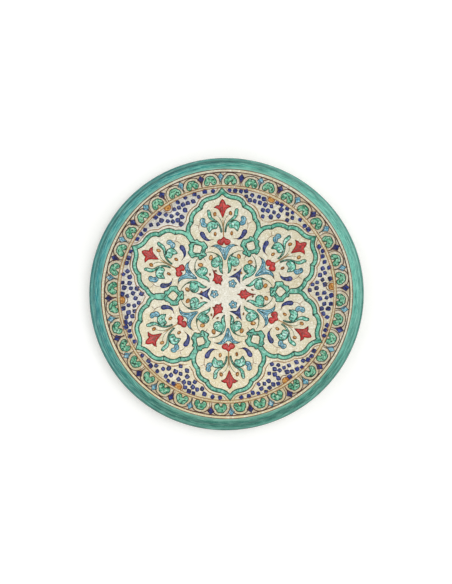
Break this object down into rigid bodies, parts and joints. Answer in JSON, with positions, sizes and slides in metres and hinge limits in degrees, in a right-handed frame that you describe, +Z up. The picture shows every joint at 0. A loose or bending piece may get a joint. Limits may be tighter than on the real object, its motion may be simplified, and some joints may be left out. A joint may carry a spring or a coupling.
{
  "type": "painted ceramic plate",
  "caption": "Round earthenware serving dish with a painted rosette in its shallow well, a turned-down green rim and a foot ring, for serving food or for show.",
  "frame": {"origin": "middle of the foot ring's underside, on the surface that the dish stands on", "axes": "+Z up along the dish's turning axis; +X and +Y lie in the surface, with +Y towards the top of the painted rosette"},
  "size_m": [0.35, 0.35, 0.0417],
  "materials": {
    "fired_clay": "bare earthenware, dry and matt",
    "cream_glaze": "opaque cream glaze, glossy, lightly mottled",
    "green_glaze": "turquoise green copper glaze, glossy, brushed on in rings",
    "back_wash": "thin cream glaze wash, satin",
    "leaf_green_enamel": "painted green enamel, glossy, pooled at its edges",
    "cobalt_enamel": "painted cobalt blue enamel, glossy",
    "sky_enamel": "painted pale blue enamel, glossy",
    "red_enamel": "painted red enamel, glossy",
    "ochre_enamel": "painted ochre enamel, glossy",
    "brown_line": "thin painted manganese brown line",
    "dark_green_line": "thin painted dark green line"
  },
  "bodies": {
    "root": {"dish_body": "fired_clay", "foot_ring": "fired_clay", "ground_glaze": "cream_glaze", "rim_glaze": "green_glaze", "back_glaze": "back_wash", "recess_glaze": "back_wash"}
  },
  "joints": []
}
